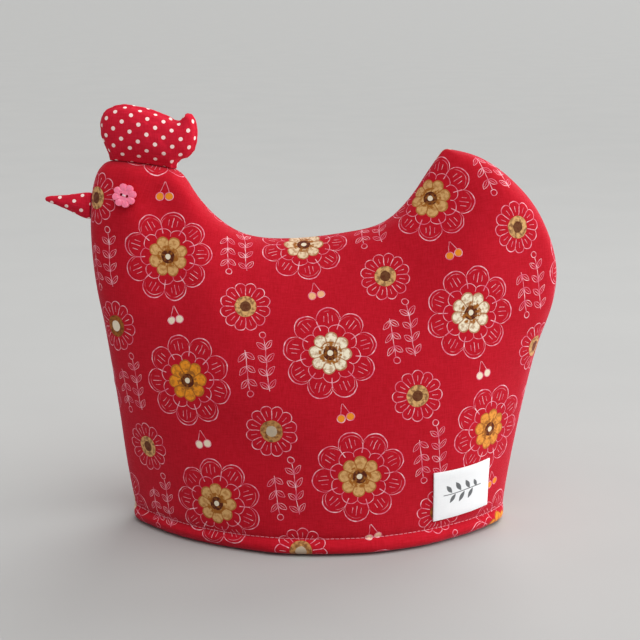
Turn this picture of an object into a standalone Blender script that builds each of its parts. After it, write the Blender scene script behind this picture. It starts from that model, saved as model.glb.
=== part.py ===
"""Hen-shaped tea cosy: two padded side panels, a stuffed comb and beak, button eyes and a label.

Sizes are in millimetres, measured from the middle of the hem, and are turned into metres when a
mesh is made. +Z is up, the hen looks towards -X, and the panels are parted by the plane y = 0.
"""

import math

import bmesh
import bpy
import numpy as np
from mathutils import Matrix, Vector
from mathutils.bvhtree import BVHTree
from mathutils.geometry import delaunay_2d_cdt
from mathutils.kdtree import KDTree

MM = 0.001
GAP = 0.3                  # air left between two pieces that touch
SHARP_ANGLE = 50.0         # degrees between faces from which an edge is shaded as sharp
LOOK_FROM = 200.0          # a panel's face is looked for from this far out
BEAK_REACH = 171.7         # from the middle of the hem to the beak's tip
TAIL_REACH = 150.5         # from the middle of the hem to the fullest point of the tail
CENTRE_SHIFT = (BEAK_REACH - TAIL_REACH) / 2    # puts the middle of the whole length at x = 0

# The seam of the two panels, from the hem's front corner over the head, back and tail to its rear
# corner. A corner is a point where the outline turns sharply instead of running on smoothly.
SEAM = (
    # place               x       z    corner
    ("hem, breast",   -120.5,    0.0, False),
    ("hem, roll",     -121.7,    5.0, False),
    ("hem, stitch",   -120.9,   10.2, False),
    ("breast, low",   -125.0,   38.0, False),
    ("breast, mid",   -129.5,   77.0, False),
    ("breast, full",  -136.8,  130.0, False),
    ("breast, rise",  -140.6,  151.0, False),
    ("breast, high",  -142.8,  171.0, False),
    ("chin",          -143.5,  195.0, False),
    ("forehead",      -141.8,  215.5, False),
    ("brow",          -137.6,  229.0, False),
    ("brow, high",    -133.2,  233.6, False),
    ("crown, front",  -124.5,  235.0, False),
    ("crown, rear",    -93.0,  230.8, False),
    ("nape",           -84.6,  225.8, False),
    ("neck, high",     -76.0,  212.0, False),
    ("neck, low",      -62.3,  197.3, False),
    ("saddle, front",  -46.0,  187.8, False),
    ("saddle, low",    -21.0,  185.2, False),
    ("saddle, rear",    16.0,  189.0, False),
    ("tail, root",      40.0,  195.2, False),
    ("tail, rise",      56.1,  210.1, False),
    ("tail, front",     67.9,  227.9, False),
    ("tail, tip",       77.6,  242.3, True),
    ("tail, top",       98.5,  237.2, False),
    ("tail, shoulder", 118.5,  224.2, False),
    ("rump, high",     137.5,  202.5, False),
    ("rump, full",     149.6,  171.5, False),
    ("rump, under",    148.9,  145.5, False),
    ("flank, high",    139.5,  116.0, False),
    ("flank, mid",     132.0,   82.0, False),
    ("flank, low",     124.2,   38.0, False),
    ("hem, stitch",    120.6,   10.2, False),
    ("hem, roll",      121.2,    5.0, False),
    ("hem, tail",      120.0,    0.0, False),
)

# How finely a shape is traced and filled
TRACE_STEP = 0.8           # spacing of the points of a smooth curve
RING_KEEP = 0.9            # a ring's point is kept if this share of its depth is clear
GRID_KEEP = 0.55           # the grid stays this share of its step off the last ring
GRID_ROW = 0.87            # rows of the grid, as a share of its step
GRID_FIRST = 0.9           # height of its first row, as a share of its step
SIDE_TOP = 60.0            # the seam rises steadily from the hem up to this height
CROWN_FLOOR = 200.0        # above this height the seam belongs to the crown or the tail

# Padded panels
WALL = 6.0                 # face cloth, wadding and back cloth together
HALF_DEPTH = 60.0          # how far the cloth itself stands out at the middle of the hem
BELLY = 1.10               # fullness of the panel above its hem, against a plain drum skin
SEAM_STEP = 7.5            # spacing of the points along the seam
GRID_STEP = 10.0           # spacing of the points inside a panel
SEAM_RINGS = (1.0, 3.0, 6.5)       # rows of points beside the seam
PAD = 7.0                  # rise of the wadding beside the seam
PAD_WIDTH = 9.0            # over this width
SEAM_LIP = 0.9             # half thickness of the very edge
STEEPEST = 6.0             # slope, squared, from which the wall grows no thicker along y

# Hem: a turned edge held by one row of stitches
HEM_ROWS = (0.0, 1.1, 3.2, 6.0, 8.4, 10.2, 12.2, 15.6, 21.0)
STITCH_HEIGHT = 10.2
STITCH_DEPTH = 1.5
STITCH_WIDTH = 2.2
HEM_ROLL = 1.6             # how far the roll below the stitches stands out
HEM_ROUND = 2.2            # rounding of the outer bottom edge

# Soft hollows (-) and swells (+) of the wadding, each an oval laid on the panel
SWELLS = (
    # place                   x     z    long  wide  turn  height
    ("head",             -115.0, 212.0,  24.0, 18.0,  90.0,  5.0),
    ("below the nape",    -86.0, 196.0,  30.0, 13.0, -62.0, -3.0),
    ("shoulder",          -38.0, 140.0,  62.0, 22.0, -58.0,  4.0),
    ("tail fan",          108.0, 200.0,  42.0, 26.0,  55.0,  6.0),
    ("front of the tail",  62.0, 186.0,  34.0, 14.0,  58.0, -3.0),
    ("breast, low",       -84.0,  62.0,  46.0, 24.0,  70.0, -2.0),
    ("flank",              78.0,  70.0,  46.0, 24.0, -80.0,  2.0),
)

# Comb: a stuffed piece of its own outline, standing on the crown
COMB = (
    # place               x       z    corner
    ("neck, front",   -131.2,  239.6, False),
    ("front, low",    -133.4,  244.4, False),
    ("front, full",   -135.7,  254.0, False),
    ("front, high",   -132.8,  265.0, False),
    ("top, front",    -121.5,  269.3, False),
    ("top",           -106.0,  266.8, False),
    ("slope",          -93.6,  262.6, False),
    ("dip",            -86.2,  259.0, False),
    ("lobe, top",      -80.8,  264.4, False),
    ("lobe, round",    -76.7,  260.8, False),
    ("lobe, rear",     -74.9,  252.0, False),
    ("lobe, low",      -77.0,  241.0, False),
    ("lobe, under",    -81.2,  236.4, False),
    ("neck, rear",     -87.0,  234.0, False),
)
COMB_FOOT = (-130.6, -88.4)        # from here to here the seam of the crown holds it
COMB_HALF_DEPTH = 11.5
COMB_STEP = 3.4
COMB_RINGS = (0.8, 2.2)
COMB_PAD = 3.0             # rise of the stuffing beside the seam
COMB_PAD_WIDTH = 4.0       # over this width
COMB_LIFT = 0.35           # gap above the crown's seam

# Beak: a small stuffed cone, flattened where the seam catches it
BEAK_TIP = (-171.7, 210.7)
BEAK_TOP = (-142.6, 214.6)
BEAK_UNDER = (-144.3, 197.2)
BEAK_SECTIONS = (
    # share of length  share of height  half thickness
    (0.00, 1.00, 3.6),
    (0.07, 0.98, 4.7),
    (0.20, 0.87, 5.4),
    (0.38, 0.68, 5.0),
    (0.56, 0.51, 4.2),
    (0.74, 0.36, 3.2),
    (0.88, 0.26, 2.4),
    (0.97, 0.18, 1.7),
    (1.00, 0.08, 0.8),
)
BEAK_SIDES = 18

# Flower button
BUTTON_AT = (-118.9, 214.5)
BUTTON_DIAMETER = 15.0
BUTTON_THICKNESS = 2.6
BUTTON_PETALS = 8
BUTTON_SCALLOP = 1.2       # depth of the notch between two petals
BUTTON_PETAL_ROUND = 0.7   # under 1, the petals are full and the notches narrow
BUTTON_POINTS = 96
BUTTON_ROUNDING = 0.5
BUTTON_ROUNDING_STEPS = 2
BUTTON_LIFT = 1.5          # its back stands this far off the curved cloth
BUTTON_HOLE = 1.9
BUTTON_HOLE_SIDES = 20
BUTTON_HOLE_SPAN = 3.8
BUTTON_HOLE_TURN = -16.0   # degrees; the hole nearer the tail sits lower
BUTTON_TURN = 8.5          # degrees that its petals are turned
BUTTON_DIMPLE = 1.6        # how far its thread pulls the cloth in
BUTTON_DIMPLE_WIDTH = 8.0

# Label
LABEL_AT = (89.5, 33.1)
LABEL_SIZE = (44.0, 32.5)
LABEL_TURN = 3.0           # degrees that its rear end is sewn on too high
LABEL_THICKNESS = 1.0
LABEL_CLEAR = 0.6          # its back stands this far off the curved cloth
LABEL_GRID = (12, 8)
LABEL_LOOK = 20.0          # the cloth below it is looked for from this far out

COLOURS = {
    # material: colour (linear), roughness
    "printed_cotton": ((0.46, 0.010, 0.024), 0.85),
    "spotted_cotton": ((0.42, 0.012, 0.035), 0.85),
    "pink_plastic": ((0.87, 0.20, 0.32), 0.35),
    "white_tape": ((0.86, 0.87, 0.88), 0.8),
}


# ---------------------------------------------------------------- scene and materials

def clear_scene():
    for old in list(bpy.data.objects):
        bpy.data.objects.remove(old, do_unlink=True)


def material(name):
    colour, roughness = COLOURS[name]
    made = bpy.data.materials.get(name)
    if made is None:
        made = bpy.data.materials.new(name)
        made.use_nodes = True
        shader = made.node_tree.nodes["Principled BSDF"]
        shader.inputs["Base Color"].default_value = (*colour, 1.0)
        shader.inputs["Roughness"].default_value = roughness
    return made


def add_object(name, vertices, faces, material_name):
    """Make one named object from points in millimetres, its faces turned outwards."""
    mesh = bpy.data.meshes.new(name)
    shifted = [((x + CENTRE_SHIFT) * MM, y * MM, z * MM) for x, y, z in vertices]
    mesh.from_pydata(shifted, [], faces)
    shell = bmesh.new()
    shell.from_mesh(mesh)
    bmesh.ops.recalc_face_normals(shell, faces=shell.faces)
    shell.to_mesh(mesh)
    shell.free()
    mesh.shade_smooth()
    mesh.set_sharp_from_angle(angle=math.radians(SHARP_ANGLE))
    mesh.materials.append(material(material_name))
    made = bpy.data.objects.new(name, mesh)
    bpy.context.scene.collection.objects.link(made)
    return made


# ---------------------------------------------------------------- outlines

def smooth_run(points, keep_last):
    """Fine points along a smooth curve through the given ones."""
    fine = []
    padded = [2 * points[0] - points[1], *points, 2 * points[-1] - points[-2]]
    for before, start, end, after in zip(padded, padded[1:], padded[2:], padded[3:]):
        chord = np.linalg.norm(end - start)
        leave = chord * (end - before) / max(np.linalg.norm(end - before), 1e-6)
        arrive = chord * (after - start) / max(np.linalg.norm(after - start), 1e-6)
        steps = max(2, int(chord / TRACE_STEP))
        for t in np.arange(steps) / steps:
            fine.append((2 * t**3 - 3 * t**2 + 1) * start + (t**3 - 2 * t**2 + t) * leave
                        + (3 * t**2 - 2 * t**3) * end + (t**3 - t**2) * arrive)
    if keep_last:
        fine.append(points[-1])
    return fine


def trace(table):
    """The outline of a table of places, smooth but for its corners."""
    runs = [[]]
    for _, x, z, corner in table:
        runs[-1].append(np.array((x, z)))
        if corner and len(runs[-1]) > 1:
            runs.append([np.array((x, z))])
    runs = [run for run in runs if len(run) > 1]
    fine = []
    for run in runs:
        fine += smooth_run(run, run is runs[-1])
    return np.array(fine)


def spaced(line, step):
    """Points at an even spacing along a fine line, both ends kept."""
    reach = np.concatenate(([0.0], np.cumsum(np.linalg.norm(np.diff(line, axis=0), axis=1))))
    count = max(2, round(reach[-1] / step))
    places = np.linspace(0.0, reach[-1], count + 1)
    return np.column_stack([np.interp(places, reach, line[:, k]) for k in (0, 1)])


def inward(line, keep_left):
    """Unit normals of a line, pointing to its inner side."""
    along = np.gradient(line, axis=0)
    along /= np.linalg.norm(along, axis=1)[:, None]
    side = -1.0 if keep_left else 1.0
    return np.column_stack((-along[:, 1], along[:, 0])) * side


def distance_to(line, points):
    """Shortest distance from each point to a fine line."""
    tree = KDTree(len(line))
    for index, (x, z) in enumerate(line):
        tree.insert((x, 0.0, z), index)
    tree.balance()
    return np.array([tree.find((x, 0.0, z))[2] for x, z in points])


# ---------------------------------------------------------------- puffed shapes

def fill_outline(edge, inner):
    """Points and triangles of a closed outline filled with the given points, and each one's place
    in the edge, or -1 inside it."""
    points = [Vector(point) for point in np.vstack((edge, inner))]
    made = delaunay_2d_cdt(points, [], [list(range(len(edge)))], 1, 1e-4)
    flat = np.array([tuple(point) for point in made[0]])
    place = np.array([min(came_from) for came_from in made[3]])
    place[place >= len(edge)] = -1
    return flat, [tuple(face) for face in made[2]], place


def grid_inside(edge_line, step, clearance, floor):
    """A staggered grid of points that keeps clear of a line and of a floor."""
    low, high = edge_line.min(axis=0), edge_line.max(axis=0)
    found = []
    rows = np.arange(floor + step * GRID_FIRST, high[1], step * GRID_ROW)
    for number, z in enumerate(rows):
        for x in np.arange(low[0] + step * 0.5 * (number % 2), high[0], step):
            found.append((x, z))
    found = np.array(found)
    inside = np.zeros(len(found), bool)
    for (x0, z0), (x1, z1) in zip(edge_line, np.roll(edge_line, -1, axis=0)):
        crosses = (z0 > found[:, 1]) != (z1 > found[:, 1])
        if z1 != z0:
            meet = x0 + (found[:, 1] - z0) * (x1 - x0) / (z1 - z0)
            inside ^= crosses & (found[:, 0] < meet)
    found = found[inside]
    return found[distance_to(edge_line, found) > clearance]


def drum_skin(flat, triangles, held, held_height):
    """Height of an evenly loaded skin, stretched over its triangles and held at some points."""
    count = len(flat)
    pull = np.zeros((count, count))
    load = np.zeros(count)
    for face in triangles:
        corners = flat[list(face)]
        area = abs(np.cross(corners[1] - corners[0], corners[2] - corners[0])) / 2
        for k in range(3):
            i, j = face[(k + 1) % 3], face[(k + 2) % 3]
            one, two = corners[(k + 1) % 3] - corners[k], corners[(k + 2) % 3] - corners[k]
            weight = np.dot(one, two) / max(4 * area, 1e-9)
            pull[i, j] -= weight
            pull[j, i] -= weight
            pull[i, i] += weight
            pull[j, j] += weight
        load[list(face)] += area / 3
    free = ~held
    height = np.where(held, held_height, 0.0)
    rest = load[free] - pull[np.ix_(free, held)] @ height[held]
    height[free] = np.linalg.solve(pull[np.ix_(free, free)], rest)
    return height


def round_rise(distance, width):
    """A quarter round: 0 at the seam, 1 from a width inwards."""
    share = np.clip(distance / width, 0.0, 1.0)
    return np.sqrt(1.0 - (1.0 - share)**2)


def swell(flat, x, z, length, width, turn, height):
    """A soft oval bump or hollow laid on a panel."""
    angle = math.radians(turn)
    away = flat - np.array((x, z))
    along = away[:, 0] * math.cos(angle) + away[:, 1] * math.sin(angle)
    across = away[:, 1] * math.cos(angle) - away[:, 0] * math.sin(angle)
    return height * np.exp(-(along / length)**2 - (across / width)**2)


def steepness(flat, triangles, height):
    """How much longer the cloth's normal thickness is when measured along y, at each point."""
    slope = np.zeros((len(flat), 2))
    weight = np.zeros(len(flat))
    for face in triangles:
        a, b, c = (flat[k] for k in face)
        ha, hb, hc = (height[k] for k in face)
        twice = np.cross(b - a, c - a)
        if abs(twice) < 1e-9:
            continue
        rise = np.array(((hb - ha) * (c - a)[1] - (hc - ha) * (b - a)[1],
                         (hc - ha) * (b - a)[0] - (hb - ha) * (c - a)[0])) / twice
        for k in face:
            slope[k] += rise * abs(twice)
            weight[k] += abs(twice)
    slope /= weight[:, None]
    return np.sqrt(1.0 + np.minimum((slope**2).sum(axis=1), STEEPEST))


def hem_profile(z):
    """How far the hem stands out of the panel at a height: its roll, stitched line and round edge."""
    roll = HEM_ROLL * np.sin(np.pi * np.clip(z / STITCH_HEIGHT, 0.0, 1.0))
    stitch = STITCH_DEPTH * np.exp(-((z - STITCH_HEIGHT) / STITCH_WIDTH)**2)
    edge = HEM_ROUND * (1.0 - round_rise(z, 2 * HEM_ROUND))
    return roll - stitch - edge


# ---------------------------------------------------------------- the panels

def seam_points(line):
    """Points along the seam: at the hem's rows first, then evenly spaced up to the other hem."""
    top = HEM_ROWS[-1]
    rising = int(np.argmax(line[:, 1] > top))
    falling = len(line) - int(np.argmax(line[::-1, 1] > top))
    left = [(np.interp(z, line[:rising + 1, 1], line[:rising + 1, 0]), z) for z in HEM_ROWS]
    tail_side = line[falling - 1:][::-1]
    right = [(np.interp(z, tail_side[:, 1], tail_side[:, 0]), z) for z in HEM_ROWS]
    tip = int(np.argmax(line[:, 1]))
    front = spaced(line[rising:tip + 1], SEAM_STEP)[1:]
    rear = spaced(line[tip:falling], SEAM_STEP)[1:-1]
    return np.array([*left, *front, *rear, *right[::-1]])


def panel_plan(line):
    """The flat plan of a panel: its points and triangles in x and z."""
    seam = seam_points(line)
    normals = inward(seam, keep_left=True)
    low = seam[:, 1] <= HEM_ROWS[-1]
    normals[low] = np.column_stack((np.sign(-seam[low, 0]), np.zeros(low.sum())))
    inner = []
    for depth in SEAM_RINGS:
        ring = seam + normals * depth
        ring = ring[distance_to(line, ring) > RING_KEEP * depth]
        inner += [tuple(point) for point in ring if point[1] > 1e-6]
    for z in HEM_ROWS[1:]:
        left, right = (line_side(line, z, side) for side in (-1, 1))
        count = round((right - left) / GRID_STEP)
        xs = np.linspace(left + SEAM_RINGS[-1], right - SEAM_RINGS[-1], count)[1:-1]
        inner += [(x, z) for x in xs]
    clearance = SEAM_RINGS[-1] + GRID_KEEP * GRID_STEP
    inner += [tuple(point) for point in grid_inside(seam, GRID_STEP, clearance, HEM_ROWS[-1])]
    left, right = seam[0, 0], seam[-1, 0]
    count = round((right - left) / GRID_STEP)
    hem = [right - depth for depth in SEAM_RINGS]
    hem += list(np.linspace(right - SEAM_RINGS[-1], left + SEAM_RINGS[-1], count)[1:-1])
    hem += [left + depth for depth in SEAM_RINGS[::-1]]
    hem_line = np.array([(x, 0.0) for x in hem])
    edge = np.vstack((seam, hem_line))
    flat, triangles, place = fill_outline(edge, np.array(inner))
    on_seam = (place >= 0) & (place < len(seam))
    return flat, triangles, on_seam, (place >= 0) & ~on_seam


def line_side(line, z, side):
    """The x of the seam's front (-1) or rear (1) half at a height near the hem."""
    half = line[(line[:, 0] * side > 0.0) & (line[:, 1] < SIDE_TOP)]
    order = np.argsort(half[:, 1])
    return float(np.interp(z, half[order, 1], half[order, 0]))


def panel_height(flat, triangles, on_seam, on_hem, line):
    """How far each point of the panel's face stands out from the seam's plane."""
    away = np.where(on_seam, 0.0, distance_to(line, flat))
    half_chord = (line[-1, 0] - line[0, 0]) / 2
    middle = (line[-1, 0] + line[0, 0]) / 2
    hem_share = 1.0 - ((flat[:, 0] - middle) / half_chord)**2
    loose = drum_skin(flat, triangles, on_seam, np.zeros(len(flat)))
    scale = loose[on_hem].max()
    skin = BELLY * drum_skin(flat, triangles, on_seam | on_hem,
                             np.where(on_hem, hem_share, 0.0) * scale / BELLY) / scale
    behind = (half_chord**2 - HALF_DEPTH**2) / (2 * HALF_DEPTH)
    cloth = np.sqrt(half_chord**2 * np.maximum(skin, 0.0) + behind**2) - behind
    edge = round_rise(away, PAD_WIDTH)
    face = cloth + PAD * edge
    for _, *shape in SWELLS:
        face += swell(flat, *shape) * edge
    face -= swell(flat, *BUTTON_AT, BUTTON_DIMPLE_WIDTH, BUTTON_DIMPLE_WIDTH, 0.0, BUTTON_DIMPLE)
    return np.maximum(face, 0.0), edge


def build_panel(name, side, flat, triangles, face, edge, lean):
    """One padded panel as a closed solid; side is -1 for the front and 1 for the back."""
    hem = hem_profile(flat[:, 1]) * lean * edge
    outer = SEAM_LIP + face + hem
    inner = np.maximum(face - WALL * lean, GAP / 2)
    count = len(flat)
    vertices = [(x, side * h, z) for (x, z), h in zip(flat, outer)]
    vertices += [(x, side * h, z) for (x, z), h in zip(flat, inner)]
    faces = [tuple(face) for face in triangles]
    faces += [tuple(count + k for k in reversed(face)) for face in triangles]
    faces += [(b, a, count + a, count + b) for a, b in boundary_loop(triangles)]
    return add_object(name, vertices, faces, "printed_cotton")


def boundary_loop(faces):
    """The directed edges that only one face has."""
    seen = {(face[k], face[(k + 1) % len(face)]) for face in faces for k in range(len(face))}
    return [(a, b) for a, b in seen if (b, a) not in seen]


def build_panels():
    line = trace(SEAM)
    flat, triangles, on_seam, on_hem = panel_plan(line)
    face, edge = panel_height(flat, triangles, on_seam, on_hem, line)
    lean = steepness(flat, triangles, face)
    front = build_panel("panel_front", -1, flat, triangles, face, edge, lean)
    build_panel("panel_back", 1, flat, triangles, face, edge, lean)
    return front


# ---------------------------------------------------------------- comb and beak

def crown_run(start, end):
    """The seam over the crown between two places, raised by the comb's gap."""
    line = trace(SEAM)
    raised = line + inward(line, keep_left=True) * -COMB_LIFT
    return raised[(raised[:, 0] >= start) & (raised[:, 0] <= end) & (raised[:, 1] > CROWN_FLOOR)]


def build_comb():
    """Two puffed faces closed along their outline, the foot standing on the crown."""
    crown = crown_run(COMB_FOOT[0], COMB_FOOT[1])
    body = [("foot, front", *crown[0], False), *COMB, ("foot, rear", *crown[-1], False)]
    line = trace(body)
    edge_points = spaced(line, COMB_STEP)
    foot = spaced(crown[::-1], COMB_STEP)[1:-1]
    edge_points = np.vstack((edge_points, foot))
    closed = np.vstack((line, crown[::-1]))
    normals = inward(np.vstack((edge_points, edge_points[:1])), keep_left=True)[:-1]
    inner = []
    for depth in COMB_RINGS:
        ring = edge_points + normals * depth
        inner += [tuple(p) for p in ring[distance_to(closed, ring) > RING_KEEP * depth]]
    low = line[:, 1].min()
    clearance = COMB_RINGS[-1] + GRID_KEEP * COMB_STEP
    inner += [tuple(p) for p in grid_inside(edge_points, COMB_STEP, clearance, low)]
    flat, triangles, place = fill_outline(edge_points, np.array(inner))
    away = np.where(place < 0, distance_to(closed, flat), 0.0)
    skin = drum_skin(flat, triangles, place >= 0, np.zeros(len(flat)))
    puff = (COMB_HALF_DEPTH - COMB_PAD) * np.sqrt(skin / skin.max())
    height = SEAM_LIP + puff + COMB_PAD * round_rise(away, COMB_PAD_WIDTH)
    count = len(flat)
    vertices = [(x, -h, z) for (x, z), h in zip(flat, height)]
    vertices += [(x, h, z) for (x, z), h in zip(flat, height)]
    faces = [tuple(face) for face in triangles]
    faces += [tuple(count + k for k in reversed(face)) for face in triangles]
    faces += [(b, a, count + a, count + b) for a, b in boundary_loop(triangles)]
    add_object("comb", vertices, faces, "spotted_cotton")


def build_beak():
    """A cone of flattened sections from the breast seam to the tip."""
    top, under, tip = (np.array(place) for place in (BEAK_TOP, BEAK_UNDER, BEAK_TIP))
    middle = (top + under) / 2
    half = (top - under) / 2
    vertices = []
    for share, height, thick in BEAK_SECTIONS:
        centre = middle + (tip - middle) * share
        for k in range(BEAK_SIDES):
            turn = 2 * math.pi * k / BEAK_SIDES
            place = centre + half * height * math.cos(turn)
            vertices.append((place[0], thick * math.sin(turn), place[1]))
    faces = []
    for ring in range(len(BEAK_SECTIONS) - 1):
        for k in range(BEAK_SIDES):
            a, b = ring * BEAK_SIDES + k, ring * BEAK_SIDES + (k + 1) % BEAK_SIDES
            faces.append((a, b, b + BEAK_SIDES, a + BEAK_SIDES))
    faces.append(tuple(reversed(range(BEAK_SIDES))))
    faces.append(tuple(range(len(vertices) - BEAK_SIDES, len(vertices))))
    add_object("beak", vertices, faces, "spotted_cotton")


# ---------------------------------------------------------------- button and label

def skin_of(panel):
    """A tree that finds the panel's outer face."""
    mesh = panel.data
    return BVHTree.FromPolygons([v.co for v in mesh.vertices], [p.vertices[:] for p in mesh.polygons])


def touch(skin, x, z, side):
    """The point of a panel's face at x and z, and the direction it faces."""
    start = Vector(((x + CENTRE_SHIFT) * MM, side * LOOK_FROM * MM, z * MM))
    place, normal, _, _ = skin.ray_cast(start, Vector((0.0, -side, 0.0)))
    if normal.y * side < 0:
        normal = -normal
    return place, normal


def build_button(name, panel_skin, side):
    """A flower-shaped button with two holes, lying on the panel's face."""
    radius = BUTTON_DIAMETER / 2 * MM
    shell = bmesh.new()
    ring = []
    for k in range(BUTTON_POINTS):
        turn = 2 * math.pi * k / BUTTON_POINTS
        petal = abs(math.cos(BUTTON_PETALS * (turn - math.radians(BUTTON_TURN)) / 2))
        reach = radius - BUTTON_SCALLOP * MM * (1.0 - petal**BUTTON_PETAL_ROUND)
        ring.append(shell.verts.new((reach * math.cos(turn), reach * math.sin(turn), 0.0)))
    base = shell.faces.new(ring)
    grown = bmesh.ops.extrude_face_region(shell, geom=[base])
    top = [item for item in grown["geom"] if isinstance(item, bmesh.types.BMVert)]
    bmesh.ops.translate(shell, verts=top, vec=(0.0, 0.0, BUTTON_THICKNESS * MM))
    bmesh.ops.recalc_face_normals(shell, faces=shell.faces)
    mesh = bpy.data.meshes.new(name)
    shell.to_mesh(mesh)
    shell.free()
    mesh.materials.append(material("pink_plastic"))
    button = bpy.data.objects.new(name, mesh)
    bpy.context.scene.collection.objects.link(button)
    place, normal = touch(panel_skin, *BUTTON_AT, side)
    frame = normal.to_track_quat("Z", "Y").to_matrix().to_4x4()
    button.matrix_world = Matrix.Translation(place + normal * BUTTON_LIFT * MM) @ frame
    for sign in (-1, 1):
        add_hole(button, sign)
    rounding = button.modifiers.new("rounding", "BEVEL")
    rounding.width = BUTTON_ROUNDING * MM
    rounding.segments = BUTTON_ROUNDING_STEPS
    rounding.limit_method = "ANGLE"
    rounding.angle_limit = math.radians(SHARP_ANGLE)
    return button


def add_hole(button, sign):
    """A thread hole cut right through the button."""
    shell = bmesh.new()
    depth = 4 * BUTTON_THICKNESS * MM
    radius = BUTTON_HOLE / 2 * MM
    bmesh.ops.create_cone(shell, segments=BUTTON_HOLE_SIDES, radius1=radius, radius2=radius,
                          depth=depth, cap_ends=True)
    mesh = bpy.data.meshes.new(button.name + "_hole")
    shell.to_mesh(mesh)
    shell.free()
    cutter = bpy.data.objects.new(mesh.name, mesh)
    bpy.context.scene.collection.objects.link(cutter)
    turn = math.radians(BUTTON_HOLE_TURN)
    reach = sign * BUTTON_HOLE_SPAN / 2 * MM
    cutter.parent = button
    cutter.location = (reach * math.cos(turn), reach * math.sin(turn), 0.0)
    cutter.hide_render = True
    cutter.display_type = "WIRE"
    cut = button.modifiers.new("thread hole", "BOOLEAN")
    cut.object = cutter
    cut.operation = "DIFFERENCE"


def build_label(panel_skin):
    """A thin rectangle that follows the panel's face, nearly level with the hem, a hair's breadth off."""
    columns, rows = LABEL_GRID
    centre, facing = touch(panel_skin, *LABEL_AT, -1)
    level = Vector((0.0, 0.0, 1.0)).cross(facing).normalized()
    along = Matrix.Rotation(math.radians(LABEL_TURN), 3, facing) @ level
    upward = facing.cross(along)
    low, high = [], []
    for row in range(rows + 1):
        for column in range(columns + 1):
            across = (column / columns - 0.5) * LABEL_SIZE[0] * MM
            up = (row / rows - 0.5) * LABEL_SIZE[1] * MM
            above = centre + along * across + upward * up + facing * LABEL_LOOK * MM
            place, normal, _, _ = panel_skin.ray_cast(above, -facing)
            low.append(place + normal * LABEL_CLEAR * MM)
            high.append(place + normal * (LABEL_CLEAR + LABEL_THICKNESS) * MM)
    count = len(low)
    wide = columns + 1
    quads = [(r * wide + c, r * wide + c + 1, (r + 1) * wide + c + 1, (r + 1) * wide + c)
             for r in range(rows) for c in range(columns)]
    faces = quads + [tuple(count + k for k in reversed(quad)) for quad in quads]
    faces += [(b, a, count + a, count + b) for a, b in boundary_loop(quads)]
    points = [(p.x / MM - CENTRE_SHIFT, p.y / MM, p.z / MM) for p in low + high]
    add_object("label", points, faces, "white_tape")


def main():
    clear_scene()
    front = build_panels()
    build_comb()
    build_beak()
    skin = skin_of(front)
    build_button("eye_front", skin, -1)
    build_label(skin)
    back = bpy.data.objects["panel_back"]
    build_button("eye_back", skin_of(back), 1)


main()
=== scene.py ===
# %% [markdown]
# # A hen-shaped tea cosy
# A tea cosy keeps a teapot warm. This one is two padded cotton panels cut to the outline of a hen,
# seamed together over the back and left open along the hem. A stuffed comb and beak are caught in the
# seam, a flower button is the eye, and a woven label sits near the hem.
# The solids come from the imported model. This script dresses them: finer cloth, stitches, prints, light.

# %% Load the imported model
import math

import bmesh
import bpy
import numpy as np
from mathutils import Matrix, Vector, noise
from mathutils.bvhtree import BVHTree
from mathutils.kdtree import KDTree


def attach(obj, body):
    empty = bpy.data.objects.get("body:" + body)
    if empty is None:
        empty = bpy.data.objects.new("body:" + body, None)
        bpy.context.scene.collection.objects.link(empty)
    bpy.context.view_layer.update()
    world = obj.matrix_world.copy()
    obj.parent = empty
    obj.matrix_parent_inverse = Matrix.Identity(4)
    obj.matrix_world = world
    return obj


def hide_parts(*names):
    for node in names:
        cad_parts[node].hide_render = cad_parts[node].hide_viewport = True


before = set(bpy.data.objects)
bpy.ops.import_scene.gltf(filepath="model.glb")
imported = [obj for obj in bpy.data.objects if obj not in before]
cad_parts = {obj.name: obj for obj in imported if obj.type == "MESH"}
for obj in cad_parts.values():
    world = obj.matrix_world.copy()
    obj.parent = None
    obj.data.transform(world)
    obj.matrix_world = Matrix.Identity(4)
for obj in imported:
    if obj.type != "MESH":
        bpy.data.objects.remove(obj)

MM = 0.001
FULL_TURN = 2 * math.pi
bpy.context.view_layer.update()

# %% [markdown]
# ## Camera
# The cosy is seen square on, from a little above, through a fairly long lens, so that the hem reads as a
# shallow curve and the sides hardly converge. The camera is placed on a circle round a point inside the
# cosy and turned to face that point.

# %% Camera
CAMERA_TARGET = Vector((0.0112, 0.0, 0.1325))
CAMERA_DISTANCE = 0.935
CAMERA_ELEVATION = math.radians(13.0)
CAMERA_LENS = 82.4         # mm of focal length, on a sensor 36 mm wide

bpy.ops.object.select_all(action="DESELECT")
backwards = Vector((0.0, -math.cos(CAMERA_ELEVATION), math.sin(CAMERA_ELEVATION)))
bpy.ops.object.camera_add(location=CAMERA_TARGET + backwards * CAMERA_DISTANCE)
camera = bpy.context.object
camera.name = "camera"
camera.rotation_euler = (-backwards).to_track_quat("-Z", "Y").to_euler()
camera.data.lens = CAMERA_LENS
camera.data.sensor_width = 36.0
bpy.context.scene.camera = camera
print("camera", [round(v, 3) for v in camera.location])

# %% [markdown]
# ## Helpers
# Operators act on whatever is selected, so every step first selects one piece alone. A modifier is
# applied once it has done its work, and a piece's place ends up in its mesh, as the solids have theirs.

# %% Helpers for selecting, applying, copying and measuring
WELD = 0.01 * MM           # corners closer than this are one


def only(piece):
    bpy.ops.object.select_all(action="DESELECT")
    piece.select_set(True)
    bpy.context.view_layer.objects.active = piece


def apply_modifiers(piece):
    only(piece)
    for modifier in list(piece.modifiers):
        bpy.ops.object.modifier_apply(modifier=modifier.name)


def subdivide(piece, levels):
    smooth = piece.modifiers.new("smooth", "SUBSURF")
    smooth.levels = levels
    smooth.render_levels = levels
    apply_modifiers(piece)


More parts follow.
